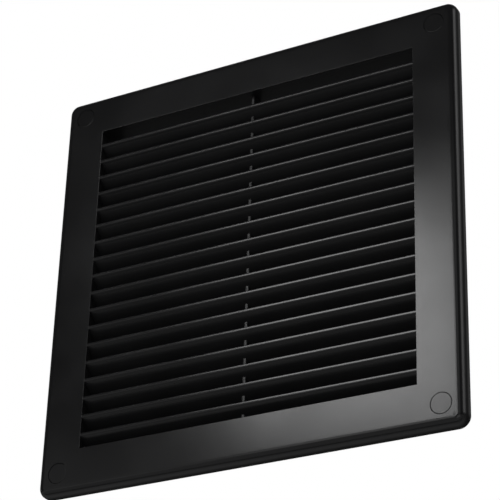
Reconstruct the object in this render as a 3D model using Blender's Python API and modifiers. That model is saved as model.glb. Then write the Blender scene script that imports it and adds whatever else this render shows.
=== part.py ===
# Soffit vent: a louvred grille moulded in one piece, with four press-in screw caps.
# Metres, +Z up. The face looks towards -Y, the wall plane is y = 0 and the collar goes into the wall.
# The origin is the centre of the opening, on the wall plane.

import math

import bmesh
import bpy
from mathutils import Matrix, Vector

# Flange: the border that covers the edge of the hole in the board
SIDE_BORDER = 0.0205
END_BORDER = 0.0198
FLANGE_DEPTH = 0.006
FACE_THICKNESS = 0.0022
RIM_WALL = 0.0022
CORNER_RADIUS = 0.005
EDGE_ROUND = 0.0038

# Opening and the collar behind it
OPENING_WIDTH = 0.1590
OPENING_HEIGHT = 0.1604
OPENING_ROUND = 0.0003
COLLAR_WALL = 0.0022
COLLAR_LENGTH = 0.012
COLLAR_DRAFT = 0.0004
COLLAR_CORNER_RADIUS = 0.003

# Louvres: a flat front strip, all but flush with the face, and a blade that slopes down into the wall
LOUVRE_PITCH = 0.0086
STRIP_HEIGHT = 0.0015
STRIP_SETBACK = 0.0001
STRIP_ROUND = 0.0003
TOP_GAP = 0.0069
LEAST_BOTTOM_GAP = 0.005
LOUVRE_ANGLE = math.radians(40.0)
LOUVRE_DEPTH = 0.010
ROOT_COVER = 0.0004

# Rib: an upright web that ties the louvres together, a little left of mid span
RIB_WIDTH = 0.0018
RIB_X = -0.0011
RIB_SETBACK = 0.0036
RIB_REAR_STEP = 0.0005

# Screw places: a recess for the cap, a bore for the screw's head and a clearance hole
SCREW_HOLE_RADIUS = 0.0021
HEAD_BORE_RADIUS = 0.0042
BOSS_WALL = 0.0018
BOSS_FLOOR = 0.0015
CAP_RADIUS = 0.0046
CAP_THICKNESS = 0.0013
CAP_EDGE_ROUND = 0.0002
CAP_SKIRT_WALL = 0.0008
CAP_SKIRT_LENGTH = 0.0010

# Clearances and resolution
FIT_GAP = 0.0003
CUT_MARGIN = 0.002
CORNER_SEGMENTS = 8
EDGE_SEGMENTS = 6
SMALL_EDGE_SEGMENTS = 2
ROUND_SEGMENTS = 48
TOLERANCE = 1e-6

# Finish
PLASTIC_COLOUR = (0.020, 0.020, 0.021)
PLASTIC_ROUGHNESS = 0.38

# Worked-out sizes. A half size holds two lengths: x is half the width and z half the height.
opening_half = Vector((OPENING_WIDTH / 2, 0, OPENING_HEIGHT / 2))
border = Vector((SIDE_BORDER, 0, END_BORDER))
outer_half = opening_half + border
collar_half = opening_half + Vector((COLLAR_WALL, 0, COLLAR_WALL))
screw_half = opening_half + border / 2
face_y = -FLANGE_DEPTH
face_back_y = face_y + FACE_THICKNESS
blade_root = COLLAR_WALL - ROOT_COVER
strip_y = face_y + STRIP_SETBACK
blade_rear_y = face_y + LOUVRE_DEPTH
blade_drop = (blade_rear_y - strip_y) * math.tan(LOUVRE_ANGLE)
rib_rear_y = blade_rear_y - RIB_REAR_STEP
louvre_run = OPENING_HEIGHT - TOP_GAP - STRIP_HEIGHT - LEAST_BOTTOM_GAP
louvre_count = 1 + int(louvre_run / LOUVRE_PITCH)
first_strip_z = opening_half.z - TOP_GAP - STRIP_HEIGHT / 2
recess_radius = CAP_RADIUS + FIT_GAP
recess_depth = CAP_THICKNESS + FIT_GAP
boss_radius = HEAD_BORE_RADIUS + BOSS_WALL


def clear_scene():
    """Remove every object and collection, so that the script can be run again."""
    for obj in list(bpy.data.objects):
        bpy.data.objects.remove(obj, do_unlink=True)
    for collection in list(bpy.data.collections):
        bpy.data.collections.remove(collection)


def make_collection(name):
    """Make a collection and link it to the scene."""
    collection = bpy.data.collections.new(name)
    bpy.context.scene.collection.children.link(collection)
    return collection


def make_material(name):
    """Make the black moulded plastic."""
    material = bpy.data.materials.new(name)
    material.use_nodes = True
    shader = material.node_tree.nodes["Principled BSDF"]
    shader.inputs["Base Color"].default_value = (*PLASTIC_COLOUR, 1.0)
    shader.inputs["Roughness"].default_value = PLASTIC_ROUGHNESS
    shader.inputs["Metallic"].default_value = 0.0
    return material


def make_object(name, bm, collection, smooth_angle=math.radians(35.0)):
    """Turn a bmesh into a named object in a collection."""
    bmesh.ops.recalc_face_normals(bm, faces=bm.faces)
    mesh = bpy.data.meshes.new(name)
    bm.to_mesh(mesh)
    bm.free()
    mesh.shade_smooth()
    mesh.set_sharp_from_angle(angle=smooth_angle)
    obj = bpy.data.objects.new(name, mesh)
    collection.objects.link(obj)
    return obj


def make_cutter(name, bm):
    """Turn a bmesh into an object that only cuts, joins or trims others."""
    cutter = make_object(name, bm, bpy.data.collections["construction"])
    cutter.hide_render = True
    cutter.display_type = "WIRE"
    return cutter


def add_boolean(obj, tool, operation):
    """Cut, join or trim an object with another."""
    modifier = obj.modifiers.new(f"{operation.lower()}_{tool.name}", "BOOLEAN")
    modifier.operation = operation
    modifier.object = tool
    modifier.solver = "EXACT"


def bevel_edges(bm, edges, radius, segments):
    """Round the given edges."""
    bmesh.ops.bevel(bm, geom=edges, offset=radius, segments=segments, profile=0.5, affect="EDGES")


def plain_box(low, high):
    """A box between two corners."""
    bm = bmesh.new()
    size = Vector(high) - Vector(low)
    middle = (Vector(high) + Vector(low)) / 2
    bmesh.ops.create_cube(bm, size=1.0, matrix=Matrix.Translation(middle) @ Matrix.Diagonal((*size, 1.0)))
    return bm


def grown(half, more):
    """A half size with the same length added across and up."""
    return half + Vector((more, 0, more))


def ring(outer, inner, low_y, high_y):
    """A rectangular ring between two half sizes, from low_y to high_y."""
    bm = bmesh.new()
    upright = Matrix.Rotation(math.pi / 2, 4, "X")
    # Nine squares of side 1 without the middle one: the outer vertices lie at 1.5, the hole's at 0.5
    bmesh.ops.create_grid(bm, x_segments=3, y_segments=3, size=1.5, matrix=upright)
    hole = [face for face in bm.faces if face.calc_center_median().length < 0.5]
    bmesh.ops.delete(bm, geom=hole, context="FACES")
    for vert in bm.verts:
        half_x = outer.x if abs(vert.co.x) > 1.0 else inner.x
        half_z = outer.z if abs(vert.co.z) > 1.0 else inner.z
        vert.co = (math.copysign(half_x, vert.co.x), low_y, math.copysign(half_z, vert.co.z))
    extruded = bmesh.ops.extrude_face_region(bm, geom=bm.faces[:], use_keep_orig=True)
    for item in extruded["geom"]:
        if isinstance(item, bmesh.types.BMVert):
            item.co.y = high_y
    return bm


def at_corner(vert, half):
    """Whether a vertex lies at a corner of the rectangle of this half size."""
    return abs(abs(vert.co.x) - half.x) < TOLERANCE and abs(abs(vert.co.z) - half.z) < TOLERANCE


def outside(place, half):
    """Whether a place lies outside the rectangle of this half size."""
    return abs(place.x) > half.x or abs(place.z) > half.z


def ring_corner_edges(bm, half):
    """The ring's four edges along Y at one of its half sizes."""
    return [
        edge for edge in bm.edges
        if abs(edge.verts[0].co.y - edge.verts[1].co.y) > CUT_MARGIN
        and all(at_corner(vert, half) for vert in edge.verts)
    ]


def ring_face_edges(bm, y, outer_side):
    """The edges between the ring's face at y and its outer or inner walls."""
    bm.normal_update()
    found = []
    for edge in bm.edges:
        in_face = all(abs(vert.co.y - y) < TOLERANCE for vert in edge.verts)
        walls = [face for face in edge.link_faces if abs(face.normal.y) < 0.5]
        middle = (edge.verts[0].co + edge.verts[1].co) / 2
        if in_face and len(walls) == 1 and outside(middle, screw_half) == outer_side:
            found.append(edge)
    return found


def make_surround(collection):
    """The flange and collar, still without louvres and screw places."""
    bm = ring(outer_half, opening_half, face_y, COLLAR_LENGTH)
    bevel_edges(bm, ring_corner_edges(bm, outer_half), CORNER_RADIUS, CORNER_SEGMENTS)
    bevel_edges(bm, ring_face_edges(bm, face_y, True), EDGE_ROUND, EDGE_SEGMENTS)
    bevel_edges(bm, ring_face_edges(bm, face_y, False), OPENING_ROUND, SMALL_EDGE_SEGMENTS)
    surround = make_object("louvre_grille", bm, collection)

    # The space round the collar, inside the rim: the flange's hollow back, open to the wall side
    rim_inner = grown(outer_half, -RIM_WALL)
    bm = ring(rim_inner, collar_half, face_back_y, COLLAR_LENGTH + CUT_MARGIN)
    bevel_edges(bm, ring_corner_edges(bm, rim_inner), CORNER_RADIUS - RIM_WALL, CORNER_SEGMENTS)
    bevel_edges(bm, ring_corner_edges(bm, collar_half), COLLAR_CORNER_RADIUS, CORNER_SEGMENTS)
    for vert in bm.verts:
        if vert.co.y > 0 and not outside(vert.co, screw_half):
            vert.co.x -= math.copysign(COLLAR_DRAFT, vert.co.x)
            vert.co.z -= math.copysign(COLLAR_DRAFT, vert.co.z)
    add_boolean(surround, make_cutter("flange_hollow_cut", bm), "DIFFERENCE")

    # The rim ends at the wall plane
    bm = ring(grown(outer_half, CUT_MARGIN), screw_half, 0.0, COLLAR_LENGTH + CUT_MARGIN * 2)
    add_boolean(surround, make_cutter("behind_rim_cut", bm), "DIFFERENCE")
    return surround


def turned(profile):
    """A closed turned solid about the Y axis, from (radius, y) points that start and end on the axis."""
    bm = bmesh.new()
    verts = [bm.verts.new((radius, y, 0.0)) for radius, y in profile]
    for start, end in zip(verts, verts[1:]):
        bm.edges.new((start, end))
    bmesh.ops.spin(
        bm, geom=bm.verts[:] + bm.edges[:], cent=(0, 0, 0), axis=(0, 1, 0),
        angle=2 * math.pi, steps=ROUND_SEGMENTS, use_merge=True,
    )
    bmesh.ops.remove_doubles(bm, verts=bm.verts, dist=TOLERANCE)
    bmesh.ops.dissolve_verts(bm, verts=[vert for vert in bm.verts if vert.co.xz.length < TOLERANCE])
    return bm


def place_cut_screws(surround):
    """Bosses in the hollow flange, each with its cap recess, head bore and screw hole."""
    embed = FACE_THICKNESS / 2
    boss_profile = [(0, face_y + embed), (boss_radius, face_y + embed), (boss_radius, 0), (0, 0)]
    recess_profile = [
        (0, face_y - CUT_MARGIN),
        (recess_radius, face_y - CUT_MARGIN),
        (recess_radius, face_y + recess_depth),
        (HEAD_BORE_RADIUS, face_y + recess_depth),
        (HEAD_BORE_RADIUS, -BOSS_FLOOR),
        (SCREW_HOLE_RADIUS, -BOSS_FLOOR),
        (SCREW_HOLE_RADIUS, CUT_MARGIN),
        (0, CUT_MARGIN),
    ]
    for operation, name, profile in (("UNION", "boss", boss_profile), ("DIFFERENCE", "recess", recess_profile)):
        for place, (x, z) in screw_places.items():
            tool = make_cutter(f"{name}_{place}", turned(profile))
            tool.location = (x, 0, z)
            add_boolean(surround, tool, operation)


def add_louvres(surround):
    """The row of louvre blades and the rib, which end inside the collar's wall."""
    reach = grown(opening_half, blade_root)
    strip_half = STRIP_HEIGHT / 2
    bm = plain_box((-reach.x, strip_y, -strip_half), (reach.x, blade_rear_y, strip_half))
    for vert in bm.verts:
        if vert.co.y > strip_y:
            vert.co.z -= blade_drop
    strip_edges = [
        edge for edge in bm.edges
        if all(abs(vert.co.y - strip_y) < TOLERANCE for vert in edge.verts)
        and abs(edge.verts[0].co.x - edge.verts[1].co.x) > reach.x
    ]
    bevel_edges(bm, strip_edges, STRIP_ROUND, SMALL_EDGE_SEGMENTS)
    blades = make_cutter("louvre_blades", bm)
    blades.location.z = first_strip_z
    row = blades.modifiers.new("row", "ARRAY")
    row.count = louvre_count
    row.use_relative_offset = False
    row.use_constant_offset = True
    row.constant_offset_displace = (0, 0, -LOUVRE_PITCH)

    # The lowest blade is trimmed inside the collar's lower wall
    side = reach.x + CUT_MARGIN
    zone = plain_box((-side, face_y - CUT_MARGIN, -reach.z), (side, COLLAR_LENGTH, reach.z))
    add_boolean(blades, make_cutter("louvre_zone", zone), "INTERSECT")

    rib_half = RIB_WIDTH / 2
    rib_reach = opening_half.z + COLLAR_WALL / 2
    rib = plain_box(
        (RIB_X - rib_half, face_y + RIB_SETBACK, -rib_reach), (RIB_X + rib_half, rib_rear_y, rib_reach)
    )
    add_boolean(surround, make_cutter("rib", rib), "UNION")
    add_boolean(surround, blades, "UNION")


def make_cap(place, collection):
    """A press-in cap: a thin disc, flush with the face, on a short skirt."""
    x, z = screw_places[place]
    head_back = face_y + CAP_THICKNESS
    skirt_outer = HEAD_BORE_RADIUS - FIT_GAP
    skirt_inner = skirt_outer - CAP_SKIRT_WALL
    skirt_end = head_back + CAP_SKIRT_LENGTH
    profile = [
        (0, face_y),
        (CAP_RADIUS - CAP_EDGE_ROUND, face_y),
        (CAP_RADIUS, face_y + CAP_EDGE_ROUND),
        (CAP_RADIUS, head_back),
        (skirt_outer, head_back),
        (skirt_outer, skirt_end),
        (skirt_inner, skirt_end),
        (skirt_inner, head_back),
        (0, head_back),
    ]
    cap = make_object(f"screw_cap_{place}", turned(profile), collection)
    cap.location = (x, 0, z)
    cap.data.materials.append(make_material(f"cap_plastic_{place}"))
    return cap


clear_scene()
vent = make_collection("soffit_vent")
construction = make_collection("construction")
screw_places = {
    "top_left": (-screw_half.x, screw_half.z),
    "top_right": (screw_half.x, screw_half.z),
    "bottom_left": (-screw_half.x, -screw_half.z),
    "bottom_right": (screw_half.x, -screw_half.z),
}

grille = make_surround(vent)
grille.data.materials.append(make_material("grille_plastic"))
place_cut_screws(grille)
add_louvres(grille)
for screw_place in screw_places:
    make_cap(screw_place, vent)
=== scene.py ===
import math

import bmesh
import bpy
from bpy.props import FloatProperty, FloatVectorProperty, IntProperty, PointerProperty
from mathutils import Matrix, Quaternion, Vector


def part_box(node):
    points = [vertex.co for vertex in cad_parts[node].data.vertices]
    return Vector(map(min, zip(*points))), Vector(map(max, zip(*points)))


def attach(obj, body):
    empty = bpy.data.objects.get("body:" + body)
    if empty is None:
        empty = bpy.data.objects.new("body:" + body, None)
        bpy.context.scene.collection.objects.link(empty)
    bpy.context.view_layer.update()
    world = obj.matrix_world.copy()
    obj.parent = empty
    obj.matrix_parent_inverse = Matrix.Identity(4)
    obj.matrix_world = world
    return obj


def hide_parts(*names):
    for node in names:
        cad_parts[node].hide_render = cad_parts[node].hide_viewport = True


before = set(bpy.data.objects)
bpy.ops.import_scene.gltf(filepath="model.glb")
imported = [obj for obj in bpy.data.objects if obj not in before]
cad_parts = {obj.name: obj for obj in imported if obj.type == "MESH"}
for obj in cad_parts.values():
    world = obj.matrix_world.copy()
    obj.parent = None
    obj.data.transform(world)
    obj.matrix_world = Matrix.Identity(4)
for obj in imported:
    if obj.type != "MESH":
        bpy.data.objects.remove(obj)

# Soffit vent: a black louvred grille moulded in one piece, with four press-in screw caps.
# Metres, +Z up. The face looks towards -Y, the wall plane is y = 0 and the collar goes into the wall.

bl_info = {
    "name": "Soffit Vent",
    "version": (1, 0, 0),
    "blender": (4, 5, 0),
    "location": "3D View > Sidebar > Soffit Vent",
    "description": "Models a louvred soffit vent with its screw caps, its plastic and a studio round it",
    "category": "Add Mesh",
}

GRILLE_NODE = "louvre_grille"
CAP_NODES = ("screw_cap_top_left", "screw_cap_top_right", "screw_cap_bottom_left", "screw_cap_bottom_right")

# Lengths within SAME_LENGTH are the same. The Y of a face's normal tells a flat face from a wall along Y.
SAME_LENGTH = 1e-5
LEAST_FLAT_Y = 0.9
MOST_WALL_Y = 0.2

# Steps in the rounds, from the flange's corners down to the ends of the walls
CORNER_STEPS = 16
INNER_CORNER_STEPS = 12
EDGE_STEPS = 12
SMALL_EDGE_STEPS = 4
END_STEPS = 3
CYLINDER_SIDES = 96

# How far the pieces inside the moulding reach into the wall that carries them, as a share of it
LOUVRE_ROOT = 0.8
RIB_ROOT = 0.5
BOSS_ROOT = 0.5

# A primitive that is made along Z is turned to lie along Y
TURN_TO_Y = (math.radians(90), 0, 0)

# Edges up to this angle are smooth, and the larger faces lead the shading beside them
SMOOTH_ANGLE = math.radians(32)
FACE_WEIGHT = 50

# Plastic: most of a noise's values lie in NOISE_RANGE. Each cap's pattern is shifted from the last one's.
PLASTIC_IOR = 1.5
NOISE_RANGE = (0.3, 0.7)
FLOW_MARKS_PER_WAVE = 2
FLOW_DETAIL = 4
GRAIN_DETAIL = 2
WAVE_DETAIL = 1
CAP_SHIFT = 0.3

# Painted light and shade on the floor, seen only in reflections: its tones by place along Y
FLOOR_PAINTED_SHADING_SPAN = (-2.0, 3.0)
FLOOR_PAINTED_SHADING = (
    (-2.0, 0.75), (-1.3, 0.60), (-0.75, 0.05), (-0.25, 0.80), (0.3, 0.80), (1.0, 0.30), (2.2, 0.03),
)
FLOOR_ROUGHNESS = 0.9

# The backdrop in reflections: straight behind the vent as the camera sees it, and fading out between
# two angles from there, given by their cosines
BACKDROP_DIRECTION = (-0.4306, 0.7685, 0.4723)
BACKDROP_FADE = (0.94, 0.981)

# Softboxes: name, azimuth, elevation, distance, width, height and power, in degrees, metres and watts.
# Azimuth 0 is in front of the vent, 90 on the left of someone who looks at its face.
SOFTBOXES = (
    ("key_light", 24.1, 25.1, 1.806, 0.32, 0.30, 3.8),
    ("front_fill", 10, 19, 2.2, 0.52, 0.66, 6.2),
    ("right_fill", -15, 19, 2.2, 0.85, 0.90, 1.9),
    ("low_fill", 19, 6, 2.2, 0.62, 0.80, 3.2),
    ("left_fill", 40, 3, 2.2, 0.95, 1.30, 1.8),
    ("side_light", -75, 28, 2.0, 0.90, 1.05, 10.4),
    ("rear_light", -152, 28, 2.2, 1.10, 1.20, 1.0),
    ("front_low_light", -14, -10, 2.2, 1.10, 0.90, 3.5),
    ("back_light", 158, 38, 2.2, 1.30, 1.20, 11.0),
)

SENSOR_WIDTH = 36.0
CAMERA_REACH = (0.01, 100.0)

grille_low, grille_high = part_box(GRILLE_NODE)
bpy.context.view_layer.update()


class GrilleSizes(bpy.types.PropertyGroup):
    """Sizes of the moulding: flange, opening, collar, louvres and rib."""

    side_border: FloatProperty(
        name="Side border", description="Width of the flat border left and right of the opening",
        default=0.0205, min=0.005, unit="LENGTH",
    )
    end_border: FloatProperty(
        name="End border", description="Width of the flat border above and below the opening",
        default=0.0198, min=0.005, unit="LENGTH",
    )
    flange_depth: FloatProperty(
        name="Flange depth", description="How far the face stands off the wall",
        default=0.006, min=0.002, unit="LENGTH",
    )
    wall: FloatProperty(
        name="Wall", description="Wall thickness of the face, the rim and the collar",
        default=0.0022, min=0.0005, unit="LENGTH",
    )
    corner_radius: FloatProperty(
        name="Corner radius", description="Radius of the flange's four corners seen from the front",
        default=0.005, min=0.001, unit="LENGTH",
    )
    edge_round: FloatProperty(
        name="Edge round", description="Radius between the face and the flange's rim",
        default=0.0038, min=0.0005, unit="LENGTH",
    )
    opening_round: FloatProperty(
        name="Opening round", description="Radius between the face and the inside of the collar",
        default=0.00015, min=0.0001, unit="LENGTH",
    )
    collar_corner_radius: FloatProperty(
        name="Collar corner radius", description="Radius of the collar's outer corners",
        default=0.003, min=0.0005, unit="LENGTH",
    )
    collar_draft: FloatProperty(
        name="Collar draft", description="How much the collar's outside narrows on each side to its end",
        default=0.00035, min=0.0, unit="LENGTH",
    )
    end_round: FloatProperty(
        name="End round", description="Small radius on the ends of the rim and the collar",
        default=0.0003, min=0.00005, unit="LENGTH",
    )
    louvre_pitch: FloatProperty(
        name="Louvre pitch", description="Distance from one louvre to the next",
        default=0.0086, min=0.003, unit="LENGTH",
    )
    louvre_count: IntProperty(
        name="Louvres", description="Number of louvres",
        default=18, min=1,
    )
    louvre_angle: FloatProperty(
        name="Louvre angle", description="How steeply a louvre falls into the wall",
        default=math.radians(40.0), subtype="ANGLE",
    )
    louvre_depth: FloatProperty(
        name="Louvre depth", description="From the face to a louvre's rear edge",
        default=0.010, min=0.002, unit="LENGTH",
    )
    strip_height: FloatProperty(
        name="Strip height", description="Height of a louvre's flat front strip",
        default=0.0015, min=0.0005, unit="LENGTH",
    )
    strip_setback: FloatProperty(
        name="Strip setback", description="How far the front strips lie behind the face",
        default=0.0001, min=0.0, unit="LENGTH",
    )
    strip_round: FloatProperty(
        name="Strip round", description="Radius on the long edges of a louvre and on the rib's front edges",
        default=0.00045, min=0.00005, unit="LENGTH",
    )
    top_gap: FloatProperty(
        name="Top gap", description="Open height above the first louvre",
        default=0.0069, min=0.001, unit="LENGTH",
    )
    rib_width: FloatProperty(
        name="Rib width", description="Thickness of the upright rib that ties the louvres",
        default=0.0018, min=0.0005, unit="LENGTH",
    )
    rib_x: FloatProperty(
        name="Rib place", description="Where the rib's middle stands, from the middle of the opening",
        default=-0.0011, unit="LENGTH",
    )
    rib_setback: FloatProperty(
        name="Rib setback", description="How far the rib's front edge lies behind the face",
        default=0.0036, min=0.0, unit="LENGTH",
    )
    rib_rear_step: FloatProperty(
        name="Rib rear step", description="How much shallower the rib is than the louvres",
        default=0.0005, min=0.0, unit="LENGTH",
    )


class ScrewPlaceSizes(bpy.types.PropertyGroup):
    """Sizes of a screw place: boss, cap recess, head bore, screw hole and cap."""

    boss_wall: FloatProperty(
        name="Boss wall", description="Wall round the bore for the screw's head",
        default=0.0018, min=0.0005, unit="LENGTH",
    )
    boss_floor: FloatProperty(
        name="Boss floor", description="Thickness under the screw's head",
        default=0.0015, min=0.0005, unit="LENGTH",
    )
    head_bore_radius: FloatProperty(
        name="Head bore radius", description="Radius of the bore for the screw's head",
        default=0.0042, min=0.001, unit="LENGTH",
    )
    screw_hole_radius: FloatProperty(
        name="Screw hole radius", description="Radius of the hole that the screw passes",
        default=0.0021, min=0.0005, unit="LENGTH",
    )
    fit_gap: FloatProperty(
        name="Fit gap", description="Gap under the cap's disc and round its skirt",
        default=0.0003, min=0.00005, unit="LENGTH",
    )
    ring_gap: FloatProperty(
        name="Ring gap", description="Gap round the cap's disc where it meets the face",
        default=0.00016, min=0.00005, unit="LENGTH",
    )
    cap_thickness: FloatProperty(
        name="Cap thickness", description="Thickness of the cap's disc",
        default=0.0013, min=0.0003, unit="LENGTH",
    )
    cap_edge_round: FloatProperty(
        name="Cap edge round", description="Radius on the cap's front edge",
        default=0.00025, min=0.00005, unit="LENGTH",
    )
    skirt_wall: FloatProperty(
        name="Skirt wall", description="Wall of the skirt that holds the cap in the bore",
        default=0.0008, min=0.0002, unit="LENGTH",
    )


class PlasticFinish(bpy.types.PropertyGroup):
    """Look of the moulded black plastic."""

    colour: FloatVectorProperty(
        name="Colour", description="Colour of the plastic",
        default=(0.0038, 0.0038, 0.0040), size=3, min=0.0, max=1.0, subtype="COLOR",
    )
    colour_change: FloatProperty(
        name="Colour change", description="How much lighter the lightest places of the plastic are",
        default=0.18, min=0.0, max=1.0,
    )
    gloss_level: FloatProperty(
        name="Gloss level", description="Strength of the mirror-like reflection, 0.5 for polished plastic",
        default=0.22, min=0.0, max=1.0,
    )
    roughness: FloatProperty(
        name="Roughness", description="How much the face spreads its reflections",
        default=0.155, min=0.0, max=1.0,
    )
    roughness_change: FloatProperty(
        name="Roughness change", description="How much the roughness changes over the moulding",
        default=0.05, min=0.0, max=0.5,
    )
    inner_roughness: FloatProperty(
        name="Inner roughness", description="What the roughness gains behind the face, as on the louvres",
        default=0.18, min=0.0, max=1.0,
    )
    polish_depth: FloatProperty(
        name="Polish depth", description="Depth behind the face that is as smooth as the face",
        default=0.0004, min=0.0, unit="LENGTH",
    )
    inner_depth: FloatProperty(
        name="Inner depth", description="Depth behind the face from where the inner roughness is complete",
        default=0.0016, min=0.0, unit="LENGTH",
    )
    grain_scale: FloatProperty(
        name="Grain scale", description="Grains of the mould's texture in a metre",
        default=2200.0, min=10.0,
    )
    grain_depth: FloatProperty(
        name="Grain depth", description="Depth of the mould's texture",
        default=0.000006, min=0.0, precision=7, unit="LENGTH",
    )
    waviness_scale: FloatProperty(
        name="Waviness scale", description="Waves in a metre, where the plastic sinks a little as it cools",
        default=16.0, min=1.0,
    )
    waviness_depth: FloatProperty(
        name="Waviness depth", description="Depth of those waves",
        default=0.00010, min=0.0, precision=6, unit="LENGTH",
    )


class StudioSettings(bpy.types.PropertyGroup):
    """Camera, floor and room."""

    camera_place: FloatVectorProperty(
        name="Camera place", description="Where the camera stands",
        default=(0.3638, -0.6519, -0.3989), size=3, subtype="TRANSLATION", unit="LENGTH",
    )
    camera_aim: FloatVectorProperty(
        name="Camera aim", description="The point on the face that the camera looks at",
        default=(0.0019, -0.0060, -0.0019), size=3, subtype="TRANSLATION", unit="LENGTH",
    )
    camera_roll: FloatProperty(
        name="Camera roll", description="Turn of the camera about its line of sight",
        default=math.radians(1.84), subtype="ANGLE",
    )
    camera_lens: FloatProperty(
        name="Lens", description="Focal length in millimetres on a 36 mm sensor",
        default=139.86, min=10.0,
    )
    floor_height: FloatProperty(
        name="Floor height", description="Height of the floor below the vent",
        default=-1.4, unit="LENGTH",
    )
    floor_size: FloatProperty(
        name="Floor size", description="Length of the floor's side",
        default=40.0, unit="LENGTH",
    )
    floor_colour: FloatVectorProperty(
        name="Floor colour", description="Colour of the floor where the camera itself sees it",
        default=(0.95, 0.95, 0.95), size=3, min=0.0, max=1.0, subtype="COLOR",
    )
    room_front: FloatProperty(
        name="Room", description="Brightness of the room in reflections, where white is 1",
        default=0.07, min=0.0,
    )
    room_behind: FloatProperty(
        name="Backdrop", description="Brightness of the backdrop behind the vent in reflections",
        default=1.0, min=0.0,
    )
    room_soft_light: FloatProperty(
        name="Room light", description="Light that the room throws on matt surfaces",
        default=0.7, min=0.0,
    )


def leave_all():
    """Go back to object mode with nothing selected."""
    if bpy.context.object and bpy.context.object.mode != "OBJECT":
        bpy.ops.object.mode_set(mode="OBJECT")
    bpy.ops.object.select_all(action="DESELECT")


def take(piece):
    """Make one object the active and only selected one."""
    leave_all()
    piece.select_set(True)
    bpy.context.view_layer.objects.active = piece


def new_piece(name):
    """Name the primitive just added and put its place and turn in its mesh."""
    piece = bpy.context.object
    piece.name = name
    piece.data.name = name
    bpy.ops.object.transform_apply(location=True, rotation=True, scale=True)
    return piece


def edit(piece):
    """Open a piece in edit mode with nothing selected."""
    take(piece)
    bpy.ops.object.mode_set(mode="EDIT")
    bpy.ops.mesh.select_all(action="DESELECT")


def choose(piece, kind, wanted):
    """In edit mode, select the vertices, edges or faces for which wanted holds."""
    bpy.ops.mesh.select_mode(type=kind)
    bpy.ops.mesh.select_all(action="DESELECT")
    mesh = bmesh.from_edit_mesh(piece.data)
    mesh.normal_update()
    items = {"VERT": mesh.verts, "EDGE": mesh.edges, "FACE": mesh.faces}[kind]
    chosen = [item for item in items if wanted(item)]
    if not chosen:
        raise RuntimeError(f"nothing to select on {piece.name}")
    for item in chosen:
        item.select_set(True)
    mesh.select_flush_mode()
    bmesh.update_edit_mesh(piece.data)


def near(value, target):
    """Whether two lengths are the same."""
    return abs(value - target) < SAME_LENGTH


def opening_half(sizes):
    """Half the opening's width as x and half its height as z."""
    return Vector((grille_high.x - sizes.side_border, 0, grille_high.z - sizes.end_border))


def grown(half, more):
    """A half size with the same length added across and up."""
    return half + Vector((more, 0, more))


def outside(place, half):
    """Whether a place lies outside the upright rectangle of this half size."""
    return abs(place.x) > half.x or abs(place.z) > half.z


def middle(edge):
    """The middle of an edge."""
    return (edge.verts[0].co + edge.verts[1].co) / 2


def lies_at(edge, y):
    """Whether both ends of an edge lie at this depth."""
    return all(near(vert.co.y, y) for vert in edge.verts)


def is_upright_corner(edge, half):
    """Whether an edge runs along Y at a corner of the upright rectangle of this half size."""
    at_corner = all(near(abs(vert.co.x), half.x) and near(abs(vert.co.z), half.z) for vert in edge.verts)
    return at_corner and not near(edge.verts[0].co.y, edge.verts[1].co.y)


def is_outline(edge, y):
    """Whether an edge lies at this depth, between a flat face and a wall that runs along Y."""
    flat = [face for face in edge.link_faces if abs(face.normal.y) > LEAST_FLAT_Y]
    walls = [face for face in edge.link_faces if abs(face.normal.y) < MOST_WALL_Y]
    return lies_at(edge, y) and len(flat) == 1 and len(walls) == 1


def apply_modifier(piece, kind, **values):
    """Add a modifier with these values and apply it."""
    take(piece)
    bpy.ops.object.modifier_add(type=kind)
    modifier = piece.modifiers[-1]
    for key, value in values.items():
        setattr(modifier, key, value)
    bpy.ops.object.modifier_apply(modifier=modifier.name)


def combine(piece, tool, operation):
    """Join a tool to a piece or cut the piece with it, and remove the tool."""
    apply_modifier(piece, "BOOLEAN", object=tool, operation=operation, solver="EXACT")
    bpy.data.meshes.remove(tool.data)


def round_edges(piece, wanted, radius, steps):
    """Round the edges of a piece for which wanted holds."""
    edit(piece)
    choose(piece, "EDGE", wanted)
    bpy.ops.mesh.bevel(
        offset=radius, offset_type="OFFSET", segments=steps, profile=0.5, affect="EDGES", loop_slide=False
    )
    leave_all()


def cylinder(name, radius, low_y, high_y, place):
    """A cylinder along Y between two depths."""
    leave_all()
    bpy.ops.mesh.primitive_cylinder_add(
        vertices=CYLINDER_SIDES, radius=radius, depth=high_y - low_y,
        location=(place.x, (low_y + high_y) / 2, place.z), rotation=TURN_TO_Y,
    )
    return new_piece(name)


def bar(name, width, low_y, high_y, height, place):
    """A box between two depths, with this width and height, round a place."""
    leave_all()
    bpy.ops.mesh.primitive_cube_add(
        size=1, location=(place.x, (low_y + high_y) / 2, place.z), scale=(width, high_y - low_y, height)
    )
    return new_piece(name)


def step_back(piece, y, narrower, deeper):
    """Narrow a cylinder's rear end, which lies at depth y, and take it further back."""
    edit(piece)
    choose(
        piece, "FACE", lambda face: face.normal.y > LEAST_FLAT_Y and near(face.calc_center_median().y, y)
    )
    bpy.ops.mesh.inset(thickness=narrower, depth=0)
    bpy.ops.mesh.extrude_region_move(TRANSFORM_OT_translate={"value": (0, deeper, 0)})
    leave_all()


def shade(piece):
    """Smooth the rounded places, and keep the flat faces flat up to their edges."""
    take(piece)
    bpy.ops.object.shade_smooth_by_angle(angle=SMOOTH_ANGLE)
    apply_modifier(piece, "WEIGHTED_NORMAL", mode="FACE_AREA", weight=FACE_WEIGHT, keep_sharp=True)


def screw_places():
    """The middle of each cap on the face, by cap node."""
    places = {}
    for node in CAP_NODES:
        low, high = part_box(node)
        places[node] = (low + high) / 2
    return places


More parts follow.
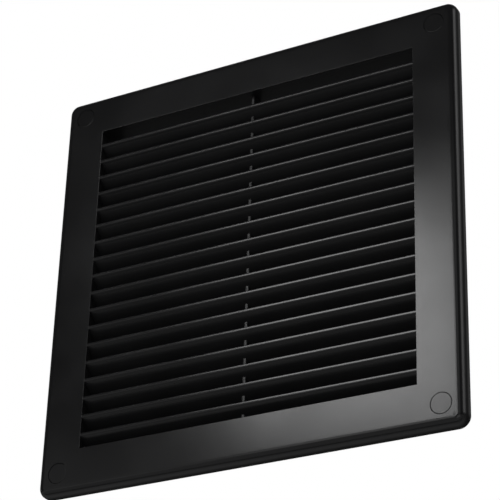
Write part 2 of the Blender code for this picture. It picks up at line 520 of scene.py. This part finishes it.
def shape_surround(sizes):
    """The flange and the collar: a folded sheet given its wall, with its corners and edges rounded."""
    face_y, end_y = grille_low.y, grille_high.y
    outer = Vector((grille_high.x, 0, grille_high.z))
    opening = opening_half(sizes)
    screws = (outer + opening) / 2

    def in_rim(edge):
        return outside(middle(edge), screws)

    def on_face_alone(vert):
        flat = all(abs(face.normal.y) > LEAST_FLAT_Y for face in vert.link_faces)
        return flat and near(vert.co.y, face_y)

    # Flat ring, then the rim and the collar folded back from it
    leave_all()
    bpy.ops.mesh.primitive_plane_add(size=2, location=(0, face_y, 0), rotation=TURN_TO_Y)
    piece = new_piece("vent_moulding")
    edit(piece)
    bpy.ops.mesh.select_all(action="SELECT")
    bpy.ops.transform.resize(value=(outer.x, 1, outer.z), center_override=(0, face_y, 0))
    bpy.ops.mesh.inset(thickness=sizes.side_border, depth=0)
    flatter = opening.z / (outer.z - sizes.side_border)
    bpy.ops.transform.resize(value=(1, 1, flatter), center_override=(0, face_y, 0))
    bpy.ops.mesh.delete(type="FACE")
    for rim, depth in ((True, sizes.flange_depth), (False, end_y - face_y)):
        choose(
            piece, "EDGE",
            lambda edge: edge.is_boundary and lies_at(edge, face_y) and in_rim(edge) == rim,
        )
        bpy.ops.mesh.extrude_region_move(TRANSFORM_OT_translate={"value": (0, depth, 0)})
    leave_all()
    apply_modifier(
        piece, "SOLIDIFY", thickness=sizes.wall, offset=-1.0, use_even_offset=True, use_quality_normals=True
    )

    # Corners seen from the front
    inside = grown(outer, -sizes.wall)
    collar = grown(opening, sizes.wall)
    for half, radius, steps in (
        (outer, sizes.corner_radius, CORNER_STEPS),
        (inside, sizes.corner_radius - sizes.wall, INNER_CORNER_STEPS),
        (collar, sizes.collar_corner_radius, INNER_CORNER_STEPS),
    ):
        round_edges(piece, lambda edge: is_upright_corner(edge, half), radius, steps)

    # The collar's outside narrows towards its end
    edit(piece)
    mid_wall = grown(opening, sizes.wall / 2)
    choose(piece, "VERT", lambda vert: near(vert.co.y, end_y) and outside(vert.co, mid_wall))
    narrowed = grown(collar, -sizes.collar_draft)
    bpy.ops.transform.resize(
        value=(narrowed.x / collar.x, 1, narrowed.z / collar.z), center_override=(0, 0, 0)
    )
    leave_all()

    # The face's own points near its corners go further in, so that the edge's round has room
    edit(piece)
    choose(piece, "VERT", on_face_alone)
    further_in = 1 - sizes.edge_round / 2 / outer.x
    bpy.ops.transform.resize(value=(further_in, 1, further_in), center_override=(0, face_y, 0))
    leave_all()

    # Face edges and the small rounds on the ends
    rim_y = face_y + sizes.flange_depth
    round_edges(piece, lambda edge: is_outline(edge, face_y) and in_rim(edge), sizes.edge_round, EDGE_STEPS)
    round_edges(
        piece, lambda edge: is_outline(edge, face_y) and not in_rim(edge),
        sizes.opening_round, SMALL_EDGE_STEPS,
    )
    round_edges(piece, lambda edge: is_outline(edge, end_y), sizes.end_round, END_STEPS)
    round_edges(piece, lambda edge: is_outline(edge, rim_y) and in_rim(edge), sizes.end_round, END_STEPS)
    return piece


def shape_screw_places(piece, sizes, screw):
    """Bosses behind the face, each with its cap recess, head bore and screw hole."""
    face_y = grille_low.y
    wall_y = face_y + sizes.flange_depth
    boss_y = face_y + sizes.wall * BOSS_ROOT
    bore_end = wall_y - screw.boss_floor
    recess_y = face_y + screw.cap_thickness + screw.fit_gap
    boss_radius = screw.head_bore_radius + screw.boss_wall
    margin = sizes.wall
    for node, place in screw_places().items():
        low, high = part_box(node)
        recess_radius = (high.x - low.x) / 2 + screw.ring_gap
        combine(piece, cylinder("boss", boss_radius, boss_y, wall_y, place), "UNION")
        recess = cylinder("recess", recess_radius, face_y - margin, recess_y, place)
        step_back(recess, recess_y, recess_radius - screw.head_bore_radius, bore_end - recess_y)
        step_back(
            recess, bore_end, screw.head_bore_radius - screw.screw_hole_radius, wall_y + margin - bore_end
        )
        combine(piece, recess, "DIFFERENCE")


def shape_louvres(sizes):
    """The row of louvres: one blade, modelled once and copied down the opening."""
    opening = opening_half(sizes)
    reach = grown(opening, sizes.wall * LOUVRE_ROOT)
    front_y = grille_low.y + sizes.strip_setback
    rear_y = grille_low.y + sizes.louvre_depth
    first = Vector((0, 0, opening.z - sizes.top_gap - sizes.strip_height / 2))
    blade = bar("louvre", 2 * reach.x, front_y, rear_y, sizes.strip_height, first)
    edit(blade)
    choose(blade, "FACE", lambda face: face.normal.y > LEAST_FLAT_Y)
    drop = (rear_y - front_y) * math.tan(sizes.louvre_angle)
    bpy.ops.transform.translate(value=(0, 0, -drop))
    leave_all()
    for y, steps in ((front_y, SMALL_EDGE_STEPS), (rear_y, END_STEPS)):
        round_edges(
            blade, lambda edge: lies_at(edge, y) and near(middle(edge).x, 0), sizes.strip_round, steps
        )

    blades = [blade]
    for _ in range(sizes.louvre_count - 1):
        take(blades[-1])
        bpy.ops.object.duplicate()
        bpy.ops.transform.translate(value=(0, 0, -sizes.louvre_pitch))
        blades.append(bpy.context.object)
    leave_all()
    for copy in blades:
        copy.select_set(True)
    bpy.context.view_layer.objects.active = blade
    bpy.ops.object.join()

    # The lowest louvre is trimmed inside the collar's lower wall
    edit(blade)
    bpy.ops.mesh.select_all(action="SELECT")
    bpy.ops.mesh.bisect(plane_co=(0, 0, -reach.z), plane_no=(0, 0, 1), use_fill=True, clear_inner=True)
    leave_all()
    return blade


def shape_rib(sizes):
    """The upright rib that ties the louvres together, a little left of mid span."""
    reach = opening_half(sizes).z + sizes.wall * RIB_ROOT
    front_y = grille_low.y + sizes.rib_setback
    rear_y = grille_low.y + sizes.louvre_depth - sizes.rib_rear_step
    rib = bar("rib", sizes.rib_width, front_y, rear_y, 2 * reach, Vector((sizes.rib_x, 0, 0)))
    round_edges(
        rib, lambda edge: near(middle(edge).z, 0) and near(middle(edge).y, front_y),
        sizes.strip_round, END_STEPS,
    )
    return rib


def new_material(name):
    """A material with nodes, its node tree and its shader."""
    material = bpy.data.materials.new(name)
    material.use_nodes = True
    tree = material.node_tree
    return material, tree, tree.nodes["Principled BSDF"]


def worked_out(tree, operation, first, second):
    """The result of one operation on the outputs of two nodes."""
    node = tree.nodes.new("ShaderNodeMath")
    node.operation = operation
    tree.links.new(first, node.inputs[0])
    tree.links.new(second, node.inputs[1])
    return node.outputs["Value"]


def mapped(tree, value, source, target, interpolation="LINEAR"):
    """A node's output, carried over from one range of values to another."""
    node = tree.nodes.new("ShaderNodeMapRange")
    node.interpolation_type = interpolation
    for socket, limit in zip(("From Min", "From Max", "To Min", "To Max"), (*source, *target)):
        node.inputs[socket].default_value = limit
    tree.links.new(value, node.inputs["Value"])
    return node.outputs["Result"]


def along_y(tree, place):
    """The Y of a place that a node gives."""
    parts = tree.nodes.new("ShaderNodeSeparateXYZ")
    tree.links.new(place, parts.inputs["Vector"])
    return parts.outputs["Y"]


def colour_mix(tree):
    """A node that mixes two colours."""
    node = tree.nodes.new("ShaderNodeMix")
    node.data_type = "RGBA"
    return node


def moulded_plastic(name, finish, shift):
    """Black moulded plastic: mould grain, slight waves, and roughness and colour that change a little."""
    material, tree, shader = new_material(name)
    nodes, links = tree.nodes, tree.links
    shader.inputs["Metallic"].default_value = 0.0
    shader.inputs["IOR"].default_value = PLASTIC_IOR
    shader.inputs["Specular IOR Level"].default_value = finish.gloss_level

    place = nodes.new("ShaderNodeTexCoord")
    moved = nodes.new("ShaderNodeMapping")
    moved.inputs["Location"].default_value = (shift, shift / 2, -shift)
    links.new(place.outputs["Object"], moved.inputs["Vector"])

    def noise(scale, detail):
        texture = nodes.new("ShaderNodeTexNoise")
        texture.inputs["Scale"].default_value = scale
        texture.inputs["Detail"].default_value = detail
        links.new(moved.outputs["Vector"], texture.inputs["Vector"])
        return texture.outputs["Fac"]

    # Colour: flow marks a few centimetres long, barely lighter than the rest
    flow = noise(finish.waviness_scale * FLOW_MARKS_PER_WAVE, FLOW_DETAIL)
    colours = colour_mix(tree)
    colours.inputs["A"].default_value = (*finish.colour, 1)
    lighter = [channel * (1 + finish.colour_change) for channel in finish.colour]
    colours.inputs["B"].default_value = (*lighter, 1)
    links.new(mapped(tree, flow, NOISE_RANGE, (0, 1)), colours.inputs["Factor"])
    links.new(colours.outputs["Result"], shader.inputs["Base Color"])

    # Roughness: the same marks, and the grain's fine speckle
    grain = noise(finish.grain_scale, GRAIN_DETAIL)
    half_change = finish.roughness_change / 2
    low, high = finish.roughness - half_change, finish.roughness + half_change
    broad = mapped(tree, flow, NOISE_RANGE, (low, high))
    speckle = mapped(tree, grain, NOISE_RANGE, (-half_change, half_change))
    face_roughness = worked_out(tree, "ADD", broad, speckle)

    # Behind the face the mould isn't polished
    inner_span = (grille_low.y + finish.polish_depth, grille_low.y + finish.inner_depth)
    gain = mapped(tree, along_y(tree, place.outputs["Object"]), inner_span, (0, finish.inner_roughness))
    links.new(worked_out(tree, "ADD", face_roughness, gain), shader.inputs["Roughness"])

    # Relief: waves where the plastic sank, then the mould's grain
    waves = nodes.new("ShaderNodeBump")
    waves.inputs["Distance"].default_value = finish.waviness_depth
    links.new(noise(finish.waviness_scale, WAVE_DETAIL), waves.inputs["Height"])
    relief = nodes.new("ShaderNodeBump")
    relief.inputs["Distance"].default_value = finish.grain_depth
    links.new(grain, relief.inputs["Height"])
    links.new(waves.outputs["Normal"], relief.inputs["Normal"])
    links.new(relief.outputs["Normal"], shader.inputs["Normal"])
    return material


class SOFFIT_OT_add_grille(bpy.types.Operator):
    """Model the louvre grille: flange, collar, screw places, louvres and rib in one moulding"""

    bl_idname = "soffit.add_grille"
    bl_label = "Louvre grille"

    def execute(self, context):
        sizes, screw = context.scene.soffit_grille, context.scene.soffit_screws
        piece = shape_surround(sizes)
        shape_screw_places(piece, sizes, screw)
        combine(piece, shape_rib(sizes), "UNION")
        combine(piece, shape_louvres(sizes), "UNION")
        shade(piece)
        piece.data.materials.append(moulded_plastic("grille_plastic", context.scene.soffit_finish, 0.0))
        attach(piece, "root")
        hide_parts(GRILLE_NODE)
        return {"FINISHED"}


class SOFFIT_OT_add_caps(bpy.types.Operator):
    """Model the four press-in screw caps, each a disc on a short skirt"""

    bl_idname = "soffit.add_caps"
    bl_label = "Screw caps"

    def execute(self, context):
        screw, finish = context.scene.soffit_screws, context.scene.soffit_finish
        skirt_radius = screw.head_bore_radius - screw.fit_gap
        for number, (node, place) in enumerate(screw_places().items(), start=1):
            low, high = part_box(node)
            radius = (high.x - low.x) / 2
            disc_y = low.y + screw.cap_thickness
            cap = cylinder(node.replace("screw_cap", "press_in_cap"), radius, low.y, disc_y, place)
            step_back(cap, disc_y, radius - skirt_radius, high.y - disc_y)
            step_back(cap, high.y, screw.skirt_wall, disc_y - high.y)
            round_edges(cap, lambda edge: is_outline(edge, low.y), screw.cap_edge_round, SMALL_EDGE_STEPS)
            shade(cap)
            cap.data.materials.append(moulded_plastic(f"cap_plastic_{number}", finish, CAP_SHIFT * number))
            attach(cap, "root")
            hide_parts(node)
        return {"FINISHED"}


def softbox(name, azimuth, elevation, distance, width, height, power):
    """A soft rectangular light that faces the vent and that the camera doesn't see."""
    turn, rise = math.radians(azimuth), math.radians(elevation)
    towards = Vector((-math.sin(turn) * math.cos(rise), -math.cos(turn) * math.cos(rise), math.sin(rise)))
    data = bpy.data.lights.new(name, "AREA")
    data.shape = "RECTANGLE"
    data.size = width
    data.size_y = height
    data.energy = power
    light = bpy.data.objects.new(name, data)
    light.location = towards * distance
    light.rotation_euler = towards.to_track_quat("Z", "Y").to_euler()
    light.visible_camera = False
    bpy.context.scene.collection.objects.link(light)


def add_floor(studio):
    """A floor far below the vent: pale for the camera, with painted light and shade in bands along Y, seen
    only in reflections.
    """
    leave_all()
    bpy.ops.mesh.primitive_plane_add(size=studio.floor_size, location=(0, 0, studio.floor_height))
    floor = new_piece("studio_floor")
    material, tree, shader = new_material("studio_floor")
    nodes, links = tree.nodes, tree.links
    shader.inputs["Roughness"].default_value = FLOOR_ROUGHNESS

    # The bands of painted light and shade, one stop for each tone
    place = nodes.new("ShaderNodeTexCoord")
    painted_shading = nodes.new("ShaderNodeValToRGB")
    painted_shading.color_ramp.interpolation = "EASE"
    stops = painted_shading.color_ramp.elements
    while len(stops) < len(FLOOR_PAINTED_SHADING):
        stops.new(0.5)
    start, end = FLOOR_PAINTED_SHADING_SPAN
    for stop, (y, tone) in zip(stops, FLOOR_PAINTED_SHADING):
        stop.position = (y - start) / (end - start)
        stop.color = (tone, tone, tone, 1)
    share = mapped(tree, along_y(tree, place.outputs["Object"]), FLOOR_PAINTED_SHADING_SPAN, (0, 1))
    links.new(share, painted_shading.inputs["Fac"])

    # The camera sees one colour in their place
    path = nodes.new("ShaderNodeLightPath")
    colours = colour_mix(tree)
    links.new(painted_shading.outputs["Color"], colours.inputs["A"])
    colours.inputs["B"].default_value = (*studio.floor_colour, 1)
    links.new(path.outputs["Is Camera Ray"], colours.inputs["Factor"])
    links.new(colours.outputs["Result"], shader.inputs["Base Color"])
    floor.data.materials.append(material)


def add_room(studio):
    """The room: white for the camera, and dark in reflections but for a white backdrop behind the vent."""
    world = bpy.data.worlds.new("studio_room")
    bpy.context.scene.world = world
    world.use_nodes = True
    tree = world.node_tree
    nodes, links = tree.nodes, tree.links
    path = nodes.new("ShaderNodeLightPath")

    # Brightness of the room by direction
    direction = nodes.new("ShaderNodeTexCoord")
    towards = nodes.new("ShaderNodeVectorMath")
    towards.operation = "DOT_PRODUCT"
    links.new(direction.outputs["Generated"], towards.inputs[0])
    towards.inputs[1].default_value = BACKDROP_DIRECTION
    brightness = (studio.room_front, studio.room_behind)
    reflected = mapped(tree, towards.outputs["Value"], BACKDROP_FADE, brightness, "SMOOTHSTEP")
    level = worked_out(tree, "MAXIMUM", reflected, path.outputs["Is Camera Ray"])
    seen = nodes["Background"]
    seen.inputs["Color"].default_value = (1, 1, 1, 1)
    links.new(level, seen.inputs["Strength"])

    # Camera, glossy and transmission rays see the room itself, matt surfaces only its soft light
    soft = nodes.new("ShaderNodeBackground")
    soft.inputs["Color"].default_value = (1, 1, 1, 1)
    soft.inputs["Strength"].default_value = studio.room_soft_light
    either = worked_out(tree, "MAXIMUM", path.outputs["Is Camera Ray"], path.outputs["Is Glossy Ray"])
    sees_room = worked_out(tree, "MAXIMUM", either, path.outputs["Is Transmission Ray"])
    mix = nodes.new("ShaderNodeMixShader")
    links.new(sees_room, mix.inputs["Fac"])
    links.new(soft.outputs["Background"], mix.inputs[1])
    links.new(seen.outputs["Background"], mix.inputs[2])
    links.new(mix.outputs["Shader"], nodes["World Output"].inputs["Surface"])


def add_camera(studio):
    """The camera, below the vent and to its right, looking up at the face."""
    data = bpy.data.cameras.new("camera")
    data.sensor_width = SENSOR_WIDTH
    data.lens = studio.camera_lens
    data.clip_start, data.clip_end = CAMERA_REACH
    camera = bpy.data.objects.new("camera", data)
    bpy.context.scene.collection.objects.link(camera)
    place, aim = Vector(studio.camera_place), Vector(studio.camera_aim)
    towards = (aim - place).normalized()
    level = towards.to_track_quat("-Z", "Y")
    camera.rotation_mode = "QUATERNION"
    camera.rotation_quaternion = Quaternion(towards, -studio.camera_roll) @ level
    camera.location = place
    bpy.context.scene.camera = camera


class SOFFIT_OT_add_studio(bpy.types.Operator):
    """Set up the floor, the room, the lights and the camera"""

    bl_idname = "soffit.add_studio"
    bl_label = "Studio"

    def execute(self, context):
        studio = context.scene.soffit_studio
        add_floor(studio)
        add_room(studio)
        add_camera(studio)
        for values in SOFTBOXES:
            softbox(*values)
        context.scene.view_settings.view_transform = "Standard"
        return {"FINISHED"}


class SOFFIT_PT_panel(bpy.types.Panel):
    """The vent's settings and its build steps"""

    bl_label = "Soffit Vent"
    bl_idname = "SOFFIT_PT_panel"
    bl_space_type = "VIEW_3D"
    bl_region_type = "UI"
    bl_category = "Soffit Vent"

    def draw(self, context):
        layout = self.layout
        scene = context.scene
        for title, settings, operator in (
            ("Grille", scene.soffit_grille, SOFFIT_OT_add_grille),
            ("Screw places", scene.soffit_screws, SOFFIT_OT_add_caps),
            ("Plastic", scene.soffit_finish, None),
            ("Studio", scene.soffit_studio, SOFFIT_OT_add_studio),
        ):
            box = layout.box()
            box.label(text=title)
            for name in settings.__annotations__:
                box.prop(settings, name)
            if operator:
                box.operator(operator.bl_idname)


SETTINGS = {
    "soffit_grille": GrilleSizes,
    "soffit_screws": ScrewPlaceSizes,
    "soffit_finish": PlasticFinish,
    "soffit_studio": StudioSettings,
}
OPERATORS = (SOFFIT_OT_add_grille, SOFFIT_OT_add_caps, SOFFIT_OT_add_studio)


def register():
    """Register the settings, the operators and the panel."""
    for name, group in SETTINGS.items():
        bpy.utils.register_class(group)
        setattr(bpy.types.Scene, name, PointerProperty(type=group))
    for operator in OPERATORS:
        bpy.utils.register_class(operator)
    bpy.utils.register_class(SOFFIT_PT_panel)


def unregister():
    """Take them all out again."""
    bpy.utils.unregister_class(SOFFIT_PT_panel)
    for operator in reversed(OPERATORS):
        bpy.utils.unregister_class(operator)
    for name, group in SETTINGS.items():
        delattr(bpy.types.Scene, name)
        bpy.utils.unregister_class(group)


def main():
    """Build the vent and its studio."""
    register()
    bpy.ops.soffit.add_grille()
    bpy.ops.soffit.add_caps()
    bpy.ops.soffit.add_studio()


if __name__ == "__main__":
    main()
